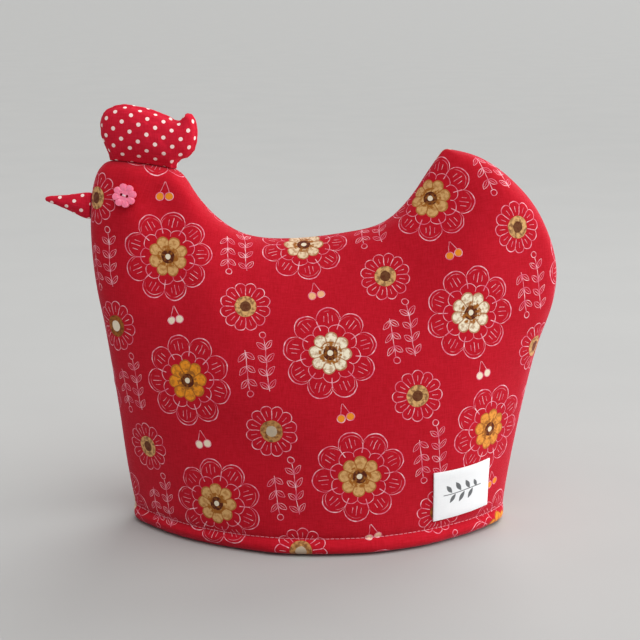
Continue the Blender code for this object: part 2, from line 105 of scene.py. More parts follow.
def new_piece(name, points, faces):
    mesh = bpy.data.meshes.new(name)
    mesh.from_pydata([tuple(point) for point in points], [], faces)
    mesh.shade_smooth()
    piece = bpy.data.objects.new(name, mesh)
    bpy.context.scene.collection.objects.link(piece)
    return piece


def welded_copy(node, name):
    """A copy of a solid with its loose triangles joined up again."""
    source = bmesh.new()
    source.from_mesh(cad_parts[node].data)
    bmesh.ops.remove_doubles(source, verts=source.verts, dist=WELD)
    faces = [tuple(v.index for v in f.verts) for f in source.faces]
    piece = new_piece(name, [v.co for v in source.verts], faces)
    source.free()
    return piece


def round_edges(piece, width, steeper_than):
    """Bevels the edges that turn by more than an angle, in degrees."""
    soften = piece.modifiers.new("soft edges", "BEVEL")
    soften.width = width
    soften.segments = 2
    soften.limit_method = "ANGLE"
    soften.angle_limit = math.radians(steeper_than)
    apply_modifiers(piece)


def put_points(mesh, places):
    for vertex, place in zip(mesh.vertices, places):
        vertex.co = place
    mesh.update()


def nearest(places):
    """A finder that says which of these places is nearest to one."""
    tree = KDTree(len(places))
    for k, place in enumerate(places):
        tree.insert(place, k)
    tree.balance()
    return tree


def turned(x, y, angle):
    """A place measured along axes turned by an angle; numbers or terms."""
    return x * math.cos(angle) + y * math.sin(angle), y * math.cos(angle) - x * math.sin(angle)


def step_towards(reach, angle):
    return reach * math.cos(angle), reach * math.sin(angle)


def triangles(piece):
    return sum(len(p.vertices) - 2 for p in piece.data.polygons)


def skin(piece):
    """A piece's faces as something that a ray can be sent against."""
    mesh = piece.data
    return BVHTree.FromPolygons([v.co for v in mesh.vertices], [p.vertices[:] for p in mesh.polygons])


# %% [markdown]
# ## Materials from sums
# A printed cloth is easier to write as sums than to wire by hand. `Term` wraps one node socket and knows
# its node tree: adding or multiplying two terms makes the Math node that does it. A line of the drawing is
# then the place where a distance is close to nought, and a filled shape is where it is below nought.

# %% A small language for node sums
def math_node(tree, operation, *values, clamp=False):
    """Each value is a term or a number."""
    node = tree.nodes.new("ShaderNodeMath")
    node.operation = operation
    node.use_clamp = clamp
    for entry, value in zip(node.inputs, values):
        if isinstance(value, Term):
            tree.links.new(value.socket, entry)
        else:
            entry.default_value = value
    return Term(tree, node.outputs[0])


class Term:
    def __init__(self, tree, socket):
        self.tree = tree
        self.socket = socket

    def math(self, operation, *others):
        return math_node(self.tree, operation, self, *others)

    def clamped(self, times, plus):
        """The term times a number plus another, held between 0 and 1."""
        return math_node(self.tree, "MULTIPLY_ADD", self, times, plus, clamp=True)

    def __add__(self, other):
        return self.math("ADD", other)

    def __sub__(self, other):
        return self.math("SUBTRACT", other)

    def __mul__(self, other):
        return self.math("MULTIPLY", other)

    def __truediv__(self, other):
        return self.math("DIVIDE", other)

    def __rsub__(self, other):
        return math_node(self.tree, "SUBTRACT", other, self)

    __radd__ = __add__
    __rmul__ = __mul__

    def __abs__(self):
        return self.math("ABSOLUTE")


SOFTNESS = 0.09            # mm over which a drawn edge fades


def line(distance, width):
    """1 where a distance is nought, over a line's width, and 0 elsewhere."""
    return abs(distance).clamped(-0.5 / SOFTNESS, 0.5 + width / 4 / SOFTNESS)


def inside(distance):
    """1 where a distance is below nought."""
    return distance.clamped(-0.5 / SOFTNESS, 0.5)


def between(value, low, high):
    return inside(abs(value - (low + high) / 2) - (high - low) / 2)


def length(x, y):
    return (x * x + y * y).math("SQRT")


def either(*masks):
    total = masks[0]
    for mask in masks[1:]:
        total = total.math("MAXIMUM", mask)
    return total


# %% Starting a material, mixing colours and reading coordinates
CLOTH_MAP = "cloth"        # the UV map in which a piece lies flat


def linear(red, green, blue):
    """A screen colour from 0 to 255, as light."""
    def one(value):
        share = value / 255
        return share / 12.92 if share <= 0.04045 else ((share + 0.055) / 1.055) ** 2.4
    return (one(red), one(green), one(blue), 1.0)


def start_material(name):
    made = bpy.data.materials.new(name)
    made.use_nodes = True
    return made, made.node_tree, made.node_tree.nodes["Principled BSDF"]


def paint(shader, colour, roughness):
    shader.id_data.links.new(colour, shader.inputs["Base Color"])
    shader.inputs["Roughness"].default_value = roughness


def cloth_place(tree):
    """The place on the flat cloth in millimetres, from the piece's own UV map: x, y and both at once."""
    source = tree.nodes.new("ShaderNodeUVMap")
    source.uv_map = CLOTH_MAP
    grow = tree.nodes.new("ShaderNodeVectorMath")
    grow.operation = "SCALE"
    grow.inputs["Scale"].default_value = 1 / MM
    tree.links.new(source.outputs["UV"], grow.inputs[0])
    parts = tree.nodes.new("ShaderNodeSeparateXYZ")
    tree.links.new(grow.outputs["Vector"], parts.inputs[0])
    return tuple(Term(tree, socket) for socket in (*parts.outputs[:2], grow.outputs["Vector"]))


def vector_of(x, y, seed):
    where = x.tree.nodes.new("ShaderNodeCombineXYZ")
    x.tree.links.new(x.socket, where.inputs[0])
    x.tree.links.new(y.socket, where.inputs[1])
    where.inputs[2].default_value = seed
    return Term(x.tree, where.outputs[0])


def cloudy(vector, size, detail=2.0):
    """Soft noise from 0 to 1 whose blotches are about this size, in the vector's unit."""
    made = vector.tree.nodes.new("ShaderNodeTexNoise")
    made.inputs["Scale"].default_value = 1 / size
    made.inputs["Detail"].default_value = detail
    vector.tree.links.new(vector.socket, made.inputs["Vector"])
    return Term(vector.tree, made.outputs["Fac"])


def chance(column, row, seed):
    """A number from 0 to 1 that is the same all over one cell of a repeat."""
    made = column.tree.nodes.new("ShaderNodeTexWhiteNoise")
    column.tree.links.new(vector_of(column, row, seed).socket, made.inputs["Vector"])
    return Term(column.tree, made.outputs["Value"])


def mix(share, under, over):
    """One colour over another, by a term; each is a colour or a socket."""
    tree = share.tree
    made = tree.nodes.new("ShaderNodeMix")
    made.data_type = "RGBA"
    tree.links.new(share.socket, made.inputs[0])
    for entry, value in zip(made.inputs[6:8], (under, over)):
        if isinstance(value, tuple):
            entry.default_value = value
        else:
            tree.links.new(value, entry)
    return made.outputs[2]


# %% [markdown]
# ## Plain weave
# Cotton is woven over and under, one thread at a time. Two sine waves, one along and one across, give
# that grid as height. No thread is quite even, so noise drawn out along each direction adds its slubs,
# thicker stretches a few millimetres long. Bump turns the height into small changes of the way the
# surface faces, so it catches light as cloth does, and the slubs tint the colour a little as well.

# %% Weave bump
WEAVE_PITCH = 0.45         # mm from one thread to the next
SLUB_WIDTH = 0.7           # mm across the thread, and along it
SLUB_REACH = 7.0
THREAD_RELIEF = 0.4        # how much the threads and the slubs count in the height
SLUB_RELIEF = 2.2
WEAVE_DEPTH = 0.12 * MM
COTTON_BUMP = 0.5          # share of that depth at which the weave shows


def streaks(x, y, seed):
    """Noise drawn out along y."""
    return cloudy(vector_of(x * (1 / SLUB_WIDTH), y * (1 / SLUB_REACH), seed), 1.0, 1.0)


def weave(shader, x, y, strength):
    """Gives a shader the weave's bump and returns its slubs, from 0 to 1."""
    tree = x.tree
    along = (x * (FULL_TURN / WEAVE_PITCH)).math("SINE")
    across = (y * (FULL_TURN / WEAVE_PITCH)).math("SINE")
    warp = streaks(x, y, 3.0)
    weft = streaks(y, x, 8.0)
    slub = (warp + weft) * 0.5
    height = along * across * THREAD_RELIEF + slub * SLUB_RELIEF
    bump = tree.nodes.new("ShaderNodeBump")
    bump.inputs["Strength"].default_value = strength
    bump.inputs["Distance"].default_value = WEAVE_DEPTH
    tree.links.new(height.socket, bump.inputs["Height"])
    tree.links.new(bump.outputs[0], shader.inputs["Normal"])
    return slub


def slubbed(slub, ground, thread):
    """The ground colour with its thicker threads in another."""
    return mix(slub.clamped(2.2, -0.75), ground, thread)


def cotton_shader(shader, colour, sheen):
    paint(shader, colour, roughness=0.9)
    shader.inputs["Specular IOR Level"].default_value = 0.08
    shader.inputs["Sheen Weight"].default_value = sheen
    shader.inputs["Sheen Roughness"].default_value = 0.4
    shader.inputs["Sheen Tint"].default_value = linear(255, 150, 175)


# %% [markdown]
# ## The printed cotton
# The panels are a deep red cotton with thin pink drawings and painted accents in cream, tan and brown.
# The drawings here are a garden: open blossoms, daisies, leafy sprigs and berries, each repeated on a
# grid of its own. Folding the flat cloth into equal cells with a floor makes the repeat; a chance number
# for each cell turns its blossom and picks its colours, so that neighbours differ.

# %% Colours of the print
CLOTH_RED = linear(182, 18, 33)
DEEPER_RED = linear(168, 14, 28)
RED_THREAD = linear(200, 27, 47)
DRAWN_PINK = linear(228, 122, 146)
CHALK = linear(255, 214, 222)
CREAM = linear(243, 232, 205)
TAN = linear(214, 168, 108)
TOFFEE = linear(160, 98, 38)
CHOCOLATE = linear(88, 40, 24)
ORANGE = linear(240, 150, 40)
PRINT_TURN = math.radians(13.0)    # the repeat is turned on the cloth by this much
REPEAT = (90.0, 78.0)              # width and height of one repeat, in mm
HAND_WOBBLE = 0.9                  # mm that a drawn line strays
SPRIG_APART = 6.0                  # from the middle of a pair of sprigs or berries to either, in mm
BERRY_APART = 2.8
BERRY_ROUND = 2.4
CREAM_BELOW = 0.34                 # of a blossom's chance number; the rest up to the next are tan
ORANGE_ABOVE = 0.74
PRINT_SHEEN = 0.30


def cells(x, y, start, seed):
    """Folds the cloth into cells: the place inside a cell, and two chance numbers for it."""
    column = ((x - start[0]) / REPEAT[0]).math("FLOOR")
    row = ((y - start[1]) / REPEAT[1]).math("FLOOR")
    inner_x = x - start[0] - (column + 0.5) * REPEAT[0]
    inner_y = y - start[1] - (row + 0.5) * REPEAT[1]
    return inner_x, inner_y, chance(column, row, seed), chance(column, row, seed + 7.0)


def petals(x, y, count, turn):
    """For a ring of petals: 0 to 1 from side to middle, and the distances from middle and side."""
    angle = y.math("ARCTAN2", x) + turn
    share = abs((angle * (count / FULL_TURN) + 2.0 * count).math("FRACT") - 0.5)
    arc = length(x, y) * (FULL_TURN / count)
    return (share * math.pi).math("COSINE"), share * arc, (0.5 - share) * arc


# %% An open blossom: two rings of drawn petals round a painted heart
# Each ring is its count of petals, the radius where they part, how far they reach past it, and how blunt
# they are (a lower power is blunter). Lines are a distance and a width, then the radii that they run
# between, all in mm.
OUTER_PETALS = (9, 21.0, 7.4, 0.55)
INNER_PETALS = (9, 14.6, 3.4, 0.6)
HEART_LOBES = (8, 9.8, 3.2, 0.6)
DAISY_PETALS = (12, 12.6, 3.0, 0.5)


def ring(x, y, petal_ring, turn):
    """The distances from the ring's rim, from the middle of a petal and from its side."""
    count, parts_at, reach, blunt = petal_ring
    middle, vein, side = petals(x, y, count, turn)
    return length(x, y) - parts_at - middle.math("POWER", blunt) * reach, vein, side


def blossom(x, y, turn, broken):
    distance = length(x, y)
    rim, vein, side = ring(x, y, OUTER_PETALS, turn)
    inner_rim, _, inner_side = ring(x, y, INNER_PETALS, turn + math.pi / INNER_PETALS[0])
    drawn = either(
        line(rim, 0.6),
        line(rim + 2.0, 0.28) * broken,
        line(side, 0.5) * between(distance, 15.0, 21.2),
        line(vein, 0.3) * between(distance, 18.6, 24.8),
        line(vein - 2.6, 0.26) * between(distance, 19.8, 23.4),
        line(inner_rim, 0.42),
        line(inner_side, 0.3) * between(distance, 12.8, 14.8),
    )
    heart, _, lobe_side = ring(x, y, HEART_LOBES, turn)
    return drawn, heart, distance, lobe_side


# %% A daisy with long petals, and a leafy sprig
DAISY_DISC = 6.8           # radii in mm
DAISY_CORE = 3.4
LEAF_STEP = 8.0            # mm up the stem from one pair of leaves to the next
LEAF_LENGTH = 7.0
LEAF_BREADTH = 1.5         # from its vein to its edge
LEAF_RISE = 2.6            # how far up the stem its root is
BUD_RISE = 2.4
BUD_ROUND = 1.9
DIAGONAL = math.sqrt(0.5)  # leaves stand out at 45 degrees


def daisy(x, y, turn):
    distance = length(x, y)
    rim, vein, side = ring(x, y, DAISY_PETALS, turn)
    drawn = either(
        line(rim, 0.5),
        line(side, 0.4) * between(distance, 7.4, 12.8),
        line(vein, 0.26) * between(distance, 9.0, 12.6),
    )
    return drawn, distance - DAISY_DISC, distance - DAISY_CORE


def sprig(x, y, height, bow):
    """A stem with pairs of leaves; its height is a multiple of half their step, so that none is cut."""
    stem = (y / 9.0).math("SINE") * bow
    away = abs(x - stem)
    step = (((y + height) / LEAF_STEP).math("FRACT") - 0.5) * LEAF_STEP
    out = (away + step + LEAF_RISE) * DIAGONAL
    over = (away - step - LEAF_RISE) * DIAGONAL
    breadth = (out * (math.pi / LEAF_LENGTH)).math("SINE") * LEAF_BREADTH
    leaf = between(out, 0.2, LEAF_LENGTH - 0.2)
    tall = inside(abs(y) - height)
    bud = length(x - stem, y - height - BUD_RISE) - BUD_ROUND
    return either(
        line(x - stem, 0.4) * tall,
        line(abs(over) - breadth, 0.34) * leaf * tall,
        line(over, 0.22) * between(out, 0.8, 5.4) * tall,
        line(bud, 0.4),
    )


# %% The printed cotton itself
def printed_cotton(name):
    made, tree, shader = start_material(name)
    flat_x, flat_y, vector = cloth_place(tree)
    slub = weave(shader, flat_x, flat_y, COTTON_BUMP)
    wobble = (cloudy(vector, 5.0, 1.0) - 0.5) * HAND_WOBBLE
    x, y = turned(flat_x, flat_y, PRINT_TURN)
    x, y = x + wobble, y - wobble
    broken = inside(0.5 - cloudy(vector, 7.0, 1.0))
    worn = cloudy(vector, 2.2).clamped(2.6, -0.35)
    chalky = cloudy(vector, 4.5).clamped(4.0, -1.7)
    painterly = cloudy(vector, 2.4)

    wide, high = REPEAT
    bx, by, pick, turn = cells(x, y, (0.0, 0.0), 1.0)
    blossom_lines, heart, reach, lobe_side = blossom(bx, by, turn * FULL_TURN, broken)
    dx, dy, daisy_pick, daisy_turn = cells(x, y, (wide / 2, high / 2), 2.0)
    daisy_lines, disc, core = daisy(dx, dy, daisy_turn * FULL_TURN)
    sx, sy, _, _ = cells(x, y, (wide / 2, 0.0), 3.0)
    taller = sprig(sx - SPRIG_APART, sy - 1.0, height=16.0, bow=1.4)
    shorter = sprig(sx * -1.0 - SPRIG_APART, sy * -1.0, height=12.0, bow=1.1)
    ex, ey, berry_pick, _ = cells(x, y, (0.0, high / 2), 4.0)
    berry = length(abs(ex) - BERRY_APART, ey + 1.2) - BERRY_ROUND
    stalk = line(abs(ex) - BERRY_APART + (ey - 1.0) * 0.4, 0.34) * between(ey, 1.0, 7.4)

    drawn = either(blossom_lines, daisy_lines, taller, shorter, line(berry, 0.4), stalk)
    drawn = drawn * (worn * 0.6 + 0.4)
    ground = mix(cloudy(vector, 26.0, 3.0) * 0.4, CLOTH_RED, DEEPER_RED)
    ground = slubbed(slub, ground, RED_THREAD)
    colour = mix(drawn, ground, mix(chalky, DRAWN_PINK, CHALK))

    tint = mix(inside(pick - CREAM_BELOW), TAN, CREAM)
    tint = mix(inside(ORANGE_ABOVE - pick), tint, ORANGE)
    tint = mix(inside(painterly - 0.46) * 0.6, tint, TOFFEE)
    tint = mix(either(line(lobe_side, 0.8), line(heart + 0.4, 0.9)) * 0.75, tint, TOFFEE)
    tint = mix(between(reach, 0.0, 7.0) * inside(painterly - 0.54), tint, TOFFEE)
    eye = mix(inside(painterly - 0.45) * 0.8, CHOCOLATE, TOFFEE)
    eye = mix(between(reach, 0.0, 1.7) * 0.9, eye, CREAM)
    colour = mix(inside(heart), colour, tint)
    colour = mix(inside(reach - 4.4), colour, eye)
    disc_tint = mix(inside(0.5 - daisy_pick), TOFFEE, TAN)
    disc_tint = mix(inside(painterly - 0.48) * 0.7, disc_tint, CHOCOLATE)
    colour = mix(inside(disc), colour, disc_tint)
    colour = mix(inside(core) * 0.9, colour, mix(inside(0.5 - daisy_pick), CREAM, CHOCOLATE))
    berry_tint = mix(inside(0.5 - berry_pick), ORANGE, CREAM)
    colour = mix(inside(berry + 0.3) * 0.9, colour, berry_tint)
    cotton_shader(shader, colour, PRINT_SHEEN)
    print(name, "is", len(tree.nodes), "nodes")
    return made


# %% [markdown]
# ## Spotted, plain, plastic and woven finishes
# The comb and beak are a second cotton with small off-white spots. The spots sit on a slanting grid, so
# the place on the cloth is first measured along the grid's two directions, and each spot is the ground
# near a whole number of both. The button's plastic, the threads and the label's tape are simpler.

# %% Spotted and plain cotton
SPOT_ROW = (10.26, math.radians(-9.8))      # length in mm and slope of one step along a row
SPOT_NEXT = (7.67, math.radians(-51.5))     # the same for one step to the next row
SPOT_SIZE = 2.5
SPOT_START = (-95.4, 250.8)                 # one spot's middle on the flat comb, in mm
SPOTS_SHEEN = 0.10
LINING_SHEEN = 0.04


def spotted_cotton(name):
    made, tree, shader = start_material(name)
    flat_x, flat_y, _ = cloth_place(tree)
    slub = weave(shader, flat_x, flat_y, COTTON_BUMP)
    row, other = step_towards(*SPOT_ROW), step_towards(*SPOT_NEXT)
    across = row[0] * other[1] - row[1] * other[0]
    x, y = flat_x - SPOT_START[0], flat_y - SPOT_START[1]
    steps = x * (other[1] / across) - y * (other[0] / across)
    rows = y * (row[0] / across) - x * (row[1] / across)
    spots = []
    for i, j in ((0.0, 0.0), (1.0, 0.0), (0.0, 1.0), (1.0, 1.0)):
        a, b = steps.math("FRACT") - i, rows.math("FRACT") - j
        spots.append(inside(length(a * row[0] + b * other[0], a * row[1] + b * other[1]) - SPOT_SIZE / 2))
    ground = slubbed(slub, linear(195, 23, 45), linear(213, 37, 61))
    colour = mix(either(*spots) * 0.93, ground, linear(253, 234, 228))
    cotton_shader(shader, colour, SPOTS_SHEEN)
    return made


def plain_cotton(name):
    made, tree, shader = start_material(name)
    flat_x, flat_y, _ = cloth_place(tree)
    slub = weave(shader, flat_x, flat_y, COTTON_BUMP)
    cotton_shader(shader, slubbed(slub, linear(150, 20, 32), linear(176, 30, 44)), LINING_SHEEN)
    return made


# %% Plastic, thread and woven tape
def object_clouds(tree, size, detail=2.0):
    """Soft noise on the place in the object itself; the size is in metres."""
    source = tree.nodes.new("ShaderNodeTexCoord")
    return cloudy(Term(tree, source.outputs["Object"]), size, detail)


def pink_plastic(name):
    made, tree, shader = start_material(name)
    shade = object_clouds(tree, 5.0 * MM)
    paint(shader, mix(shade, linear(255, 124, 157), linear(255, 136, 167)), roughness=0.38)
    shader.inputs["Subsurface Weight"].default_value = 0.15
    shader.inputs["Subsurface Scale"].default_value = 1.5 * MM
    return made


def sewing_thread(name, colour):
    made, tree, shader = start_material(name)
    shade = object_clouds(tree, 0.5 * MM, 3.0)
    dull = tuple(c * 0.8 for c in colour[:3]) + (1.0,)
    paint(shader, mix(shade, dull, colour), roughness=0.6)
    shader.inputs["Sheen Weight"].default_value = 0.2
    return made


SPRIG_LEAVES = (
    # along, up, slope in degrees, half length, half width: a leaf of the label's woven sprig, in mm
    (-10.8, 3.1, 128.0, 3.6, 1.4),
    (-8.0, -3.6, -128.0, 3.6, 1.4),
    (-3.8, 3.8, 124.0, 4.0, 1.55),
    (-1.0, -3.8, -124.0, 4.0, 1.55),
    (3.5, 3.6, 120.0, 3.8, 1.5),
    (6.1, -3.3, -120.0, 3.8, 1.5),
    (10.0, 2.8, 116.0, 3.1, 1.25),
)
SPRIG_REACH = 15.0         # mm from the sprig's middle to either end of its stem
TAPE_BUMP = 0.4            # tape is woven closer, so its weave shows less than the cotton's


def woven_tape(name):
    """White tape with a small charcoal leaf sprig woven in the middle."""
    made, tree, shader = start_material(name)
    x, y, _ = cloth_place(tree)
    slub = weave(shader, x, y, TAPE_BUMP)
    ground = mix(slub, linear(236, 239, 241), linear(250, 251, 252))
    stem = (x / 7.0).math("SINE") * 0.5
    masks = [line(y - stem, 0.6) * inside(abs(x) - SPRIG_REACH)]
    for along, up, slope, half, wide in SPRIG_LEAVES:
        lean, over = turned(x - along, y - up, math.radians(slope))
        edge = abs(over) - (lean * (math.pi / 2 / half)).math("COSINE") * wide
        masks.append(inside(edge) * inside(abs(lean) - half))
    colour = mix(either(*masks) * 0.88, ground, linear(40, 46, 50))
    paint(shader, colour, roughness=0.6)
    return made


finish = {
    "print": printed_cotton("printed_cotton_cloth"),
    "spots": spotted_cotton("spotted_cotton_cloth"),
    "lining": plain_cotton("plain_red_cotton"),
    "plastic": pink_plastic("pink_button_plastic"),
    "hem thread": sewing_thread("rose_thread", linear(236, 150, 166)),
    "white thread": sewing_thread("white_thread", linear(253, 222, 230)),
    "tape": woven_tape("white_woven_tape"),
}
print("finishes:", ", ".join(finish))

# %% [markdown]
# ## Cutting the panels
# A panel is one thickness of face cloth, wadding and back cloth. The solid has its true shape but few
# points. Its copy gets a UV map first: the outer face is unwrapped with as little stretch as can be, as
# the flat cloth was before it was sewn, then scaled to real size and laid level, so that the print keeps
# its size over the curve. Subdivision then adds points and smooths the facets away.

# %% Laying a curved face out flat, at real size
FACES_OUT = 0.005          # least part of a normal that points out of the cosy on the outer face


def flat_cloth(piece, side):
    """Gives a piece a UV map in metres from unwrapping its outer face; side is -1 for the front."""
    mesh = piece.data
    mesh.uv_layers.new(name=CLOTH_MAP)
    outward = [p.normal.y * side > FACES_OUT for p in mesh.polygons]
    only(piece)
    bpy.context.tool_settings.mesh_select_mode = (False, False, True)
    mesh.polygons.foreach_set("select", outward)
    bpy.ops.object.mode_set(mode="EDIT")
    bpy.ops.uv.unwrap(method="MINIMUM_STRETCH", margin=0.0)
    bpy.ops.object.mode_set(mode="OBJECT")
    mesh = piece.data
    uv = mesh.uv_layers[CLOTH_MAP].data
    flat, size_flat, size_real = {}, 0.0, 0.0
    for polygon, chosen in zip(mesh.polygons, outward):
        if not chosen:
            continue
        corners = [Vector(uv[k].uv) for k in polygon.loop_indices]
        size_real += polygon.area
        for a, b in zip(corners[1:], corners[2:]):
            size_flat += abs((a - corners[0]).cross(b - corners[0])) / 2
        for k, corner in zip(polygon.loop_indices, corners):
            flat[mesh.loops[k].vertex_index] = np.array(corner)
    keys = sorted(flat)
    cut = np.array([flat[k] for k in keys]) * math.sqrt(size_real / size_flat)
    seen = np.array([(-side * mesh.vertices[k].co.x, mesh.vertices[k].co.z) for k in keys])
    cut_middle, seen_middle = cut.mean(axis=0), seen.mean(axis=0)
    left, _, right = np.linalg.svd((cut - cut_middle).T @ (seen - seen_middle))
    cut = (cut - cut_middle) @ (left @ right) + seen_middle
    laid = dict(zip(keys, cut))
    behind = nearest([(mesh.vertices[k].co.x, 0.0, mesh.vertices[k].co.z) for k in keys])
    for entry in mesh.loops:
        vertex = entry.vertex_index
        if vertex not in laid:
            co = mesh.vertices[vertex].co
            laid[vertex] = cut[behind.find((co.x, 0.0, co.z))[1]]
        uv[entry.index].uv = laid[vertex]
    spread = cut.max(axis=0) - cut.min(axis=0)
    return set(keys), spread, size_real


# %% [markdown]
# ## Folds, puckers and the hem's roll
# Sewn cloth is never quite smooth. Close to the seam the stitches draw it into small puckers, the wadding
# leaves slow swells, and a few soft creases run where the panel has to turn. Each point is moved along
# its normal by the sum of these. Nothing moves at the seam itself, so the two panels still meet, and the
# hem's edge moves only in and out, so it still rests on the floor.

# %% Creases, swells, ripples and puckers, in mm
CREASE_MIDDLE = 10.6       # the middle of the hem, from which the creases are measured along x
CREASES = (
    # from x, z        to x, z        width  height
    (-112.0, 234.0,    -84.0, 228.0,  12.0,   3.4),
    (-100.0, 206.0,    -96.0, 164.0,  14.0,  -3.0),
    (-82.0, 214.0,    -60.0, 104.0,   17.0,   2.5),
    (-64.0, 188.0,    -14.0, 106.0,   14.0,  -1.7),
    (48.0, 198.0,      68.0, 186.0,   16.0,   1.2),
    (92.0, 214.0,     128.0, 176.0,   18.0,  -1.4),
    (-136.0, 170.0,  -110.0, 80.0,    18.0,   1.0),
    (-96.0, 140.0,    -74.0, 50.0,    20.0,   1.2),
    (104.0, 110.0,     90.0, 60.0,    18.0,   1.0),
    (130.0, 164.0,    134.0, 90.0,    16.0,   1.0),
    (-36.0, 64.0,      34.0, 42.0,    12.0,  -0.8),
    (-22.0, -4.0,      66.0, -4.0,    13.0,   2.4),
    (-104.0, -4.0,    -58.0, -4.0,    13.0,  -1.3),
    (-120.4, 212.7,  -120.4, 212.6,   13.0,   0.9),    # the cloth puffs up to the button
)
SWELL_SIZE = 46.0          # mm across one slow swell of the wadding
SWELL_HEIGHT = 0.9
RIPPLE_SIZE = 15.0
RIPPLE_HEIGHT = 0.22
PUCKER_SIZE = 8.5          # mm along the seam from one pucker to the next
PUCKER_HEIGHT = 0.55
PUCKER_REACH = 11.0        # how far from the seam they fade
RIPPLE_SHIFT = Vector((9.0, 0.0, 0.0))      # so that the three noises differ
PUCKER_SHIFT = Vector((0.0, 4.0, 0.0))
SEAM_QUIET = 5.0           # mm from the seam over which swells and creases die away
PUCKER_START = 1.8         # the same for puckers, which begin close to it
STITCH_HEIGHT = 10.2       # of the stitched line above the hem's edge
STITCH_PULL = 3.0          # mm above and below the line that its stitches pull in
TUG_PITCH = 9.0            # mm between the places where the hem's stitches pull hardest
TUG_DEPTH = 0.3
ON_FLOOR = 4.0             # mm of the hem's height over which the cloth is no longer pressed level
HEM_SHAPE = (              # height above the edge, reach up and down, how far it stands out, in mm
    (0.0, 2.4, -0.4),
    (4.8, 3.0, 0.2),
    (STITCH_HEIGHT, 1.2, -0.5),
)


def crease(x, z):
    total = 0.0
    for x0, z0, x1, z1, width, height in CREASES:
        along_x, along_z = x1 - x0, z1 - z0
        share = ((x - x0) * along_x + (z - z0) * along_z) / (along_x**2 + along_z**2)
        held = min(max(share, 0.0), 1.0)
        away = math.hypot(x - x0 - held * along_x, z - z0 - held * along_z)
        total += height * math.exp(-(away / width) ** 2)
    return total


def settle_cloth(piece, outside, seam):
    """Moves the outer face along its normals by its swells, creases and puckers."""
    mesh = piece.data
    stitched = nearest(seam)
    group = piece.vertex_groups["outside"].index
    moved = []
    for vertex in mesh.vertices:
        share = sum(g.weight for g in vertex.groups if g.group == group)
        co = vertex.co / MM
        place, _, away = stitched.find((co.x, 0.0, co.z))
        quiet = 1.0 - math.exp(-(away / SEAM_QUIET) ** 2)
        height = crease(co.x - CREASE_MIDDLE, co.z) * quiet
        height += SWELL_HEIGHT * noise.noise(co / SWELL_SIZE) * quiet
        height += RIPPLE_HEIGHT * noise.noise(co / RIPPLE_SIZE + RIPPLE_SHIFT) * quiet
        rise = (1.0 - math.exp(-(away / PUCKER_START) ** 2)) * math.exp(-away / PUCKER_REACH)
        height += PUCKER_HEIGHT * noise.noise(Vector(place) / PUCKER_SIZE + PUCKER_SHIFT) * rise
        rolled = sum(out * math.exp(-((co.z - level) / reach) ** 2) for level, reach, out in HEM_SHAPE)
        near_stitch = math.exp(-((co.z - STITCH_HEIGHT) / STITCH_PULL) ** 2)
        tug = TUG_DEPTH * near_stitch * (0.5 + 0.5 * math.sin(co.x * FULL_TURN / TUG_PITCH))
        height += (rolled - tug) * quiet
        push = vertex.normal.copy()
        push.z *= 1.0 - math.exp(-(co.z / ON_FLOOR) ** 2)
        moved.append(vertex.co + push * (height * share * MM))
    put_points(mesh, moved)


# %% Making a panel
PANEL_MIDDLE = (10.0, 90.0)     # x and z in mm, to go round the outline from
LONG_EDGE = 30.0                # mm; the seam's places are closer together than that
EDGE_STEPS = 6
SEAM_THICK = 1.2 * MM           # the outline's points are no farther from the middle plane


def sew_panel(node, name, side):
    piece = welded_copy(node, name)
    outside, spread, area = flat_cloth(piece, side)
    group = piece.vertex_groups.new(name="outside")
    group.add(sorted(outside), 1.0, "REPLACE")
    mesh = piece.data
    mesh.materials.append(finish["print"])
    mesh.materials.append(finish["lining"])
    lowest = STITCH_HEIGHT * MM
    for polygon in mesh.polygons:
        turned_in = all(mesh.vertices[k].co.z < lowest + MM for k in polygon.vertices)
        hidden = not any(k in outside for k in polygon.vertices)
        polygon.material_index = 1 if hidden and not turned_in else 0
    rim = [mesh.vertices[k].co / MM for k in sorted(outside)
           if abs(mesh.vertices[k].co.y) < SEAM_THICK and mesh.vertices[k].co.z > 0]
    rim.sort(key=lambda co: math.atan2(co.z - PANEL_MIDDLE[1], co.x - PANEL_MIDDLE[0]))
    seam = []
    for a, b in zip(rim, rim[1:]):
        steps = EDGE_STEPS if (a - b).length < LONG_EDGE else 1
        seam += [tuple(a.lerp(b, k / steps) * Vector((1.0, 0.0, 1.0))) for k in range(steps)]
    subdivide(piece, 2)
    settle_cloth(piece, outside, seam)
    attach(piece, "root")
    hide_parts(node)
    print(name, triangles(piece), "triangles; cut", [round(s / MM) for s in spread], "mm")
    return piece, spread, area


front, front_cut, front_area = sew_panel("panel_front", "panel_front_cloth", -1)
back, back_cut, back_area = sew_panel("panel_back", "panel_back_cloth", 1)

# %% [markdown]
# ## Comb and beak
# Both are stuffed: two pieces of spotted cotton sewn round their outline, turned and filled. Filling
# pushes the cloth out until it is taut, while the seam keeps the outline that was cut. A cloth simulation
# with pressure from inside does just that. The solid is remeshed into small even faces and flattened a
# little, because it will swell. The foot that the cosy's own seam holds is pinned. The seam's fine ditch
# and its puckers come after, as remeshing would lose them, and last of all the foot settles on the cloth
# that it is sewn to.

# %% Stuffing a small piece of cloth
STUFFING = 4.0             # pressure from inside
FILL_FRAMES = 20
SEAM_SHORT = 0.10          # share by which the seam is shorter than the cloth it holds
SEAM_HOLD = 2.5            # mm on either side of the seam over which it keeps its outline
FLATTENED = 0.94           # share of its depth that a piece starts from


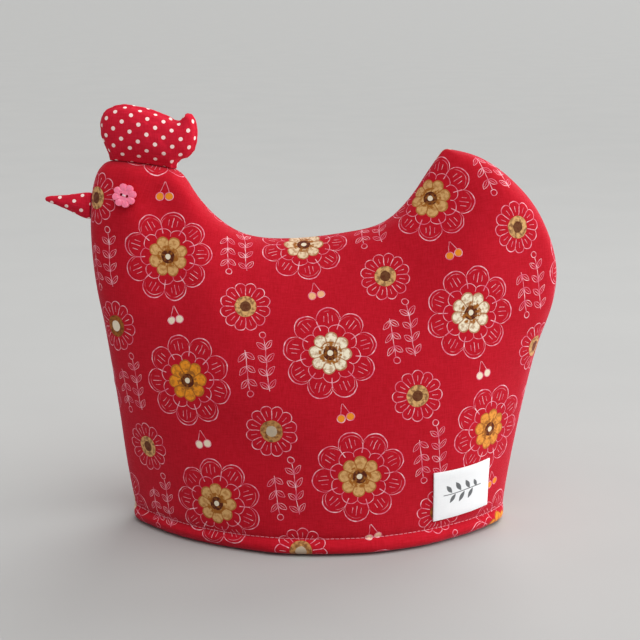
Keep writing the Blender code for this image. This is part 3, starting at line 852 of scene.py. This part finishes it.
def swell_with_wadding(piece, held, on_seam, cap):
    """Blows a flattened piece up; no point ends further than the cap from where the solid has it."""
    for name, chosen in (("held", held), ("seam", on_seam)):
        piece.vertex_groups.new(name=name).add(chosen, 1.0, "REPLACE")
    first = [v.co.copy() for v in piece.data.vertices]
    for vertex in piece.data.vertices:
        vertex.co.y *= FLATTENED
    cloth = piece.modifiers.new("wadding", "CLOTH")
    cloth.settings.use_pressure = True
    cloth.settings.uniform_pressure_force = STUFFING
    cloth.settings.effector_weights.gravity = 0.0
    cloth.settings.vertex_group_mass = "held"
    cloth.settings.vertex_group_shrink = "seam"
    cloth.settings.shrink_max = SEAM_SHORT
    cloth.point_cache.frame_end = FILL_FRAMES
    for moment in range(1, FILL_FRAMES + 1):
        bpy.context.scene.frame_set(moment)
    swollen = piece.evaluated_get(bpy.context.evaluated_depsgraph_get()).data
    ends = [v.co.copy() for v in swollen.vertices]
    piece.modifiers.remove(cloth)
    bpy.context.scene.frame_set(1)
    furthest = 0.0
    for vertex, start, end in zip(piece.data.vertices, first, ends):
        step = end - start
        furthest = max(furthest, step.length)
        step *= min(1.0, cap / max(step.length, 1e-9))
        free = 1.0 - math.exp(-(start.y / MM / SEAM_HOLD) ** 2)
        vertex.co = start + Vector((step.x * free, step.y, step.z * free))
    print(piece.name, "swelled by up to", round(furthest / MM, 2), "mm, capped at", cap / MM)


# %% Making the comb and the beak
TOUCH = 0.12               # mm left between a settled foot and the cloth under it
PUCKER_SPREAD = 4.0        # mm on either side of the seam that its puckers and its ditch reach
DITCH_SPREAD = 0.6
SEAM_BAND = 0.8            # share of a face's size on either side that counts as on the seam


def stuffed(node, name, height, grain, settle, cap, pucker, pitch, ditch):
    """A filled piece. height says how far a point is from the cloth that holds the piece's foot, and
    which way that cloth lies; points nearer than settle come to rest against it. grain is the size of
    its faces, pucker and ditch are how high and deep the seam's marks are, and pitch is from one pucker
    to the next."""
    piece = welded_copy(node, name)
    even = piece.modifiers.new("even faces", "REMESH")
    even.mode = "VOXEL"
    even.voxel_size = grain * MM
    apply_modifiers(piece)
    mesh = piece.data
    held = [v.index for v in mesh.vertices if height(v.co / MM)[0] < grain]
    on_seam = [v.index for v in mesh.vertices if abs(v.co.y) < SEAM_BAND * grain * MM]
    swell_with_wadding(piece, held, on_seam, cap * MM)
    flat_cloth(piece, -1)
    mesh.materials.append(finish["spots"])
    subdivide(piece, 1)
    mesh = piece.data
    mesh.shade_smooth()
    moved = []
    for vertex in mesh.vertices:
        co = vertex.co / MM
        near = math.exp(-(co.y / PUCKER_SPREAD) ** 2)
        along = noise.noise(Vector((co.x, 0.0, co.z)) / pitch)
        groove = math.exp(-(co.y / DITCH_SPREAD) ** 2)
        co += vertex.normal * (pucker * along * near - ditch * groove)
        away, down = height(co)
        if away < settle:
            share = max(away, 0.0) / settle
            rest = TOUCH + max(away - TOUCH, 0.0) * share**2 * (3.0 - 2.0 * share)
            co += down * (away - rest)
        moved.append(co * MM)
    put_points(mesh, moved)
    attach(piece, "root")
    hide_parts(node)
    print(name, triangles(piece), "triangles")
    return piece


FAR = 99.0                 # said where no cloth lies that way, in mm
ABOVE_COSY = 300.0         # where rays start, in mm
LEFT_OF_COSY = -200.0
BESIDE_SEAM = 0.8          # mm that a ray keeps from the middle plane, where there is no panel
sides = {-1: skin(front), 1: skin(back)}


def reach_of_cloth(co, start, way):
    """Distance from a start, in mm, to the panel on the point's own side, going one way."""
    side = -1 if co.y < 0.0 else 1
    start.y = side * max(abs(co.y), BESIDE_SEAM)
    hit, _, _, _ = sides[side].ray_cast(start * MM, way)
    return None if hit is None else (hit / MM - start).length


def above_crown(co):
    down = Vector((0.0, 0.0, -1.0))
    reach = reach_of_cloth(co, Vector((co.x, 0.0, ABOVE_COSY)), down)
    return (FAR if reach is None else reach - (ABOVE_COSY - co.z)), down


def before_breast(co):
    inward = Vector((1.0, 0.0, 0.0))
    reach = reach_of_cloth(co, Vector((LEFT_OF_COSY, 0.0, co.z)), inward)
    return (FAR if reach is None else reach - (co.x - LEFT_OF_COSY)), inward


comb = stuffed("comb", "comb_cloth", above_crown, grain=0.8, settle=4.0, cap=1.4,
               pucker=0.45, pitch=4.0, ditch=0.35)
beak = stuffed("beak", "beak_cloth", before_breast, grain=0.55, settle=4.5, cap=0.9,
               pucker=0.25, pitch=3.6, ditch=0.25)


def cut_elsewhere(piece, place, turn, closer):
    """Lays a piece on another part of the spotted cotton: a spot falls on a place, in mm."""
    swing = Matrix.Rotation(math.radians(turn), 2) * closer
    for entry in piece.data.uv_layers[CLOTH_MAP].data:
        entry.uv = swing @ (Vector(entry.uv) - Vector(place) * MM) + Vector(SPOT_START) * MM


cut_elsewhere(beak, (-142.1, 209.8), 3.7, 1.07)

# %% [markdown]
# ## Flower buttons
# A pressed plastic button in the shape of a flower: eight full petals round a slightly sunken middle,
# with two holes for the thread. A circle is filled, its edge is drawn in between the petals, the face is
# extruded for its thickness and inset for the middle, and a cylinder is subtracted for each hole.

# %% Where a button lies
BUTTON_THICK = 2.6 * MM
BUTTON_EDGE = 0.16 * MM
PETALS = 8
PETAL_REACH = 5.1 * MM      # from the middle of the button to the middle of a petal
PETAL_ROUND = 2.3 * MM      # each petal's radius
BUTTON_RADIUS = PETAL_REACH + PETAL_ROUND
HOLE_TURN = math.radians(-16.0)
PETAL_TURN = math.radians(8.5)
HOLE_SPAN = 3.8 * MM
HOLE_SIZE = 1.9 * MM
BUTTON_RINGS = (           # each ring's share of the one outside it, and its rise in mm
    (0.97, 0.0),
    (0.95, 0.06),
    (0.86, 0.08),
    (0.84, 0.0),
    (0.82, -0.06),
    (0.90, -0.26),
    (0.92, -0.10),
    (0.80, 0.0),
)
VALLEY_DEPTH = 0.5 * MM     # of the dips between the petals
VALLEY_START = 0.45         # share of the radius from which they run outwards
EDGE_POINTS = 192
HOLE_POINTS = 32


def lie_of(node, side):
    """The frame of a flat solid: its middle, and axes with the third facing out of the cosy."""
    points = np.array([v.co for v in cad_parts[node].data.vertices])
    points = np.unique(points.round(6), axis=0)
    middle = points.mean(axis=0)
    outward = Vector(np.linalg.svd(points - middle)[2][2])
    if outward.y * side < 0:
        outward = -outward
    return Matrix.Translation(Vector(middle)) @ outward.to_track_quat("Z", "Y").to_matrix().to_4x4()


# %% Modelling a button
LEVEL = 0.001              # part of a normal, below which a face counts as level or upright


def put_in_order(mesh):
    """Sorts points and faces by place, because a boolean leaves them in another order each run. A level
    or upright face is flat, so it may start at any corner; the others keep theirs, as they bend there."""
    order = sorted(range(len(mesh.vertices)), key=lambda k: tuple(mesh.vertices[k].co))
    rank = {k: new for new, k in enumerate(order)}
    points = [tuple(mesh.vertices[k].co) for k in order]
    faces = []
    for polygon in mesh.polygons:
        corners = [rank[k] for k in polygon.vertices]
        tilted = LEVEL < abs(polygon.normal.z) < 1.0 - LEVEL
        start = 0 if tilted else corners.index(min(corners))
        faces.append(corners[start:] + corners[:start])
    mesh.clear_geometry()
    mesh.from_pydata(points, [], sorted(faces))


def flower_button(node, name, side):
    bpy.ops.object.select_all(action="DESELECT")
    bpy.ops.mesh.primitive_circle_add(vertices=EDGE_POINTS, radius=BUTTON_RADIUS, fill_type="NGON")
    piece = bpy.context.object
    piece.name = piece.data.name = name
    for vertex in piece.data.vertices:
        turn = math.atan2(vertex.co.y, vertex.co.x) - PETAL_TURN
        off = turn - round(turn / (FULL_TURN / PETALS)) * FULL_TURN / PETALS
        reach = PETAL_REACH * math.cos(off) + math.sqrt(PETAL_ROUND**2 - (PETAL_REACH * math.sin(off))**2)
        vertex.co *= reach / vertex.co.length
    bpy.ops.object.mode_set(mode="EDIT")
    bpy.ops.mesh.select_all(action="SELECT")
    bpy.ops.mesh.extrude_region_move(TRANSFORM_OT_translate={"value": (0, 0, BUTTON_THICK)})
    for smaller, rise in BUTTON_RINGS:
        bpy.ops.mesh.extrude_region_move(TRANSFORM_OT_translate={"value": (0, 0, rise * MM)})
        bpy.ops.transform.resize(value=(smaller, smaller, 1.0), center_override=(0, 0, 0))
    bpy.ops.mesh.select_all(action="SELECT")
    bpy.ops.mesh.normals_make_consistent(inside=False)
    bpy.ops.object.mode_set(mode="OBJECT")
    for vertex in piece.data.vertices:
        away = math.hypot(vertex.co.x, vertex.co.y) / BUTTON_RADIUS
        if vertex.co.z > BUTTON_THICK / 2 and away > VALLEY_START:
            petal = abs(math.cos(PETALS / 2 * (math.atan2(vertex.co.y, vertex.co.x) - PETAL_TURN)))
            vertex.co.z -= VALLEY_DEPTH * (1.0 - petal) ** 3
    piece.data.transform(Matrix.Translation((0, 0, -BUTTON_THICK / 2)))
    for sign in (-1, 1):
        bpy.ops.mesh.primitive_cylinder_add(
            vertices=HOLE_POINTS, radius=HOLE_SIZE / 2, depth=4 * BUTTON_THICK,
            location=(*step_towards(sign * HOLE_SPAN / 2, HOLE_TURN), 0.0))
        drill = bpy.context.object
        cut = piece.modifiers.new("hole", "BOOLEAN")
        cut.object = drill
        apply_modifiers(piece)
        bpy.data.objects.remove(drill, do_unlink=True)
    put_in_order(piece.data)
    round_edges(piece, BUTTON_EDGE, 50.0)
    piece.data.transform(lie_of(node, side))
    only(piece)
    bpy.ops.object.shade_smooth_by_angle(angle=math.radians(35.0))
    piece.data.materials.append(finish["plastic"])
    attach(piece, "root")
    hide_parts(node)
    print(name, triangles(piece), "triangles")


flower_button("eye_front", "flower_button_front", -1)
flower_button("eye_back", "flower_button_back", 1)

# %% [markdown]
# ## Thread
# What shows of one stitch is a short capsule of thread that bulges a little in its middle. Each has a few
# dozen faces and is made between the two places where the thread enters, so it turns with the line of the
# hem. The stitches of a row are then joined into one piece.

# %% One stitch, and rows of them
STITCH_PITCH = 3.1
STITCH_LENGTH = 2.6
STITCH_ROUND = 0.21        # mm, half the thread's thickness
STITCH_BULGE = 0.12        # how far its middle rises, and how far its ends stand off the cloth
STITCH_LIFT = 0.02
CAPSULE_SIDES = 6
CAPSULE_PROFILE = (        # share of the length, share of the radius
    (0.0, 0.30),
    (0.05, 0.75),
    (0.18, 1.0),
    (0.5, 1.05),
    (0.82, 1.0),
    (0.95, 0.75),
    (1.0, 0.30),
)


def capsule(start, end, radius, facing, bulge):
    """Points and faces of one capsule of thread between two places."""
    along = end - start
    reach = along.length
    along.normalize()
    across = along.cross(facing).normalized()
    up = across.cross(along)
    points, faces = [], []
    sides = CAPSULE_SIDES
    for share, full in CAPSULE_PROFILE:
        centre = start + along * reach * share + up * bulge * math.sin(math.pi * share)
        for k in range(sides):
            turn = FULL_TURN * k / sides
            points.append(centre + (across * math.cos(turn) + up * math.sin(turn)) * radius * full)
    for level in range(len(CAPSULE_PROFILE) - 1):
        for k in range(sides):
            a, b = level * sides + k, level * sides + (k + 1) % sides
            faces.append((a, b, b + sides, a + sides))
    faces.append(tuple(reversed(range(sides))))
    faces.append(tuple(range(len(points) - sides, len(points))))
    return points, faces


def thread_piece(name, runs, material):
    """Joins many capsules into one piece; each run is (start, end, radius, facing, bulge)."""
    points, faces = [], []
    for start, end, radius, facing, bulge in runs:
        new_points, new_faces = capsule(start, end, radius, facing, bulge)
        base = len(points)
        points += new_points
        faces += [tuple(base + k for k in face) for face in new_faces]
    piece = new_piece(name, points, faces)
    shell = bmesh.new()
    shell.from_mesh(piece.data)
    bmesh.ops.recalc_face_normals(shell, faces=shell.faces)
    shell.to_mesh(piece.data)
    shell.free()
    piece.data.materials.append(material)
    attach(piece, "root")
    print(name, len(runs), "stitches,", triangles(piece), "triangles")
    return piece


# %% The hem's row of stitches
BEFORE_COSY = -0.2             # y in m, where a ray towards the front panel starts
HEM_ENDS = (-125.0, 145.0)     # x in mm, just past either end of the hem
HEM_SAMPLE = 0.5               # mm from one place read from the cloth to the next
HEM_MARGIN = 1.2 * MM          # the row starts and ends that far from the seam


def hem_row(panel, name, side):
    face = skin(panel)
    places = []
    for x in np.arange(*HEM_ENDS, HEM_SAMPLE) * MM:
        start = Vector((x, -side * BEFORE_COSY, STITCH_HEIGHT * MM))
        hit, normal, _, _ = face.ray_cast(start, Vector((0.0, -side, 0.0)))
        if hit is not None and hit.y * side > HEM_MARGIN:
            places.append((hit, normal if normal.y * side > 0 else -normal))
    reach = [0.0]
    for (a, _), (b, _) in zip(places, places[1:]):
        reach.append(reach[-1] + (b - a).length)

    def at(distance):
        k = min(int(np.searchsorted(reach, distance)), len(places) - 1)
        return places[k]

    runs = []
    for begin in np.arange(HEM_MARGIN, reach[-1] - STITCH_LENGTH * MM, STITCH_PITCH * MM):
        (a, normal), (b, _) = at(begin), at(begin + STITCH_LENGTH * MM)
        lift = normal * STITCH_LIFT * MM
        runs.append((a + lift, b + lift, STITCH_ROUND * MM, normal, STITCH_BULGE * MM))
    return thread_piece(name, runs, finish["hem thread"])


hem_front = hem_row(front, "hem_stitches_front", -1)
hem_back = hem_row(back, "hem_stitches_back", 1)

# %% The thread through a button
LANES = (-0.26 * MM, 0.26 * MM)     # two strands lie side by side
STRAND_ROUND = 0.28 * MM
STRAND_BULGE = 0.35 * MM
STRAND_DIP = 0.42 * MM              # their ends dip into the holes
STRAND_PAST = 0.5 * MM              # and reach past the holes' inner edges, in all


def button_thread(node, name, side):
    lie = lie_of(node, side)
    facing = (lie.to_3x3() @ Vector((0, 0, 1))).normalized()
    reach = (HOLE_SPAN - HOLE_SIZE + STRAND_PAST) / 2
    runs = []
    for lane in LANES:
        ends = []
        for sign in (-1, 1):
            x, y = turned(sign * reach, lane, -HOLE_TURN)
            ends.append(lie @ Vector((x, y, BUTTON_THICK / 2 - STRAND_DIP)))
        runs.append((*ends, STRAND_ROUND, facing, STRAND_BULGE))
    return thread_piece(name, runs, finish["white thread"])


thread_front = button_thread("eye_front", "button_thread_front", -1)
thread_back = button_thread("eye_back", "button_thread_back", 1)

# %% [markdown]
# ## Woven label
# A label is a short length of woven tape with its ends turned under. It lies on the front panel and goes
# with its folds: each point moves as far as the cloth under it has moved from the solid. A bevel gives it
# the soft edge of folded tape. The UV map is turned so that the woven sprig runs along the tape.

# %% The label
LABEL_SINKS = 0.36 * MM    # the solids keep a wider gap than two pieces of cloth do
LABEL_EDGE = 0.3 * MM
AHEAD = Vector((0.0, 1.0, 0.0))


def lay_on_cloth(piece, node, cloth, sinks):
    """Lets a piece follow the folds of the cloth as its solid follows the panel's solid."""
    plain, folded = skin(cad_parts[node]), skin(cloth)
    for vertex in piece.data.vertices:
        start = Vector((vertex.co.x, BEFORE_COSY, vertex.co.z))
        now, before = folded.ray_cast(start, AHEAD)[0], plain.ray_cast(start, AHEAD)[0]
        vertex.co.y += now.y - before.y + sinks


label = welded_copy("label", "woven_label")
flat_cloth(label, -1)
label.data.materials.append(finish["tape"])
lay_on_cloth(label, "panel_front", front, LABEL_SINKS)
round_edges(label, LABEL_EDGE, 50.0)
only(label)
bpy.ops.object.shade_smooth_by_angle(angle=math.radians(40.0))
uv = label.data.uv_layers[CLOTH_MAP].data
places = np.array([entry.uv for entry in uv])
middle = (places.max(axis=0) + places.min(axis=0)) / 2
lowest, rightmost = places[places[:, 1].argmin()], places[places[:, 0].argmax()]
slope = math.atan2(rightmost[1] - lowest[1], rightmost[0] - lowest[0])
for entry in uv:
    entry.uv = turned(*(Vector(entry.uv) - Vector(middle)), slope)
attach(label, "root")
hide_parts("label")
print("label", triangles(label), "triangles; turned", round(math.degrees(slope), 1), "degrees")

# %% [markdown]

# %% [markdown]
# ## Floor and light
# The floor is plain, pale and matt, and large enough to fill the view. The light is soft, as from a
# window: a wide lamp stands low at the right, so the tail side is bright and the breast falls into gentle
# shade. Two very soft suns stand at the right as well, one high in front and one behind. They brighten
# what faces up and reach the floor near and far alike, and the pale world fills in what is left.

# %% Floor
FLOOR_SIZE = 200.0         # m, so that its edge stays near the horizon
UNDER_HEM = 0.5 * MM       # the floor lies just below the hem, so that the two never flicker
bpy.ops.object.select_all(action="DESELECT")
bpy.ops.mesh.primitive_plane_add(size=FLOOR_SIZE, location=(0.0, 0.0, -UNDER_HEM))
floor = bpy.context.object
floor.name = "floor"
bpy.ops.object.transform_apply(location=True, rotation=True, scale=True)
stone, tree, shader = start_material("pale_floor")
mottle = object_clouds(tree, 0.12, 6.0)
paint(shader, mix(mottle, linear(171, 171, 170), linear(177, 177, 175)), roughness=0.9)
shader.inputs["Specular IOR Level"].default_value = 0.1
floor.data.materials.append(stone)

# %% Lights
LAMP_DISTANCE = 2.6
LAMP_BEAM = math.radians(90.0)     # wide enough for the cosy, and it spares the floor under the lamp
LAMPS = (
    # name           kind    turn to the right, rise, strength, width in m or spread in degrees
    ("window lamp",  "AREA",   90.0,            12.0,  14.4,    1.6),
    ("front sun",    "SUN",    30.0,            60.0,   1.66,  50.0),
    ("back sun",     "SUN",   150.0,            30.0,   2.13,  50.0),
)
for name, kind, turn, rise, strength, width in LAMPS:
    turn, rise = math.radians(turn), math.radians(rise)
    towards = Vector((math.sin(turn) * math.cos(rise), -math.cos(turn) * math.cos(rise), math.sin(rise)))
    bpy.ops.object.light_add(type=kind, location=CAMERA_TARGET + towards * LAMP_DISTANCE)
    lamp = bpy.context.object
    lamp.name = name
    lamp.data.energy = strength
    if kind == "AREA":
        lamp.data.size = width
        lamp.data.spread = LAMP_BEAM
    else:
        lamp.data.angle = math.radians(width)
    lamp.rotation_euler = towards.to_track_quat("Z", "Y").to_euler()

SKY_STRENGTH = 0.42
world = bpy.context.scene.world or bpy.data.worlds.new("studio")
bpy.context.scene.world = world
world.use_nodes = True
sky = world.node_tree.nodes["Background"]
sky.inputs["Color"].default_value = (1.0, 1.0, 1.0, 1.0)
sky.inputs["Strength"].default_value = SKY_STRENGTH
bpy.context.scene.view_settings.view_transform = "Standard"
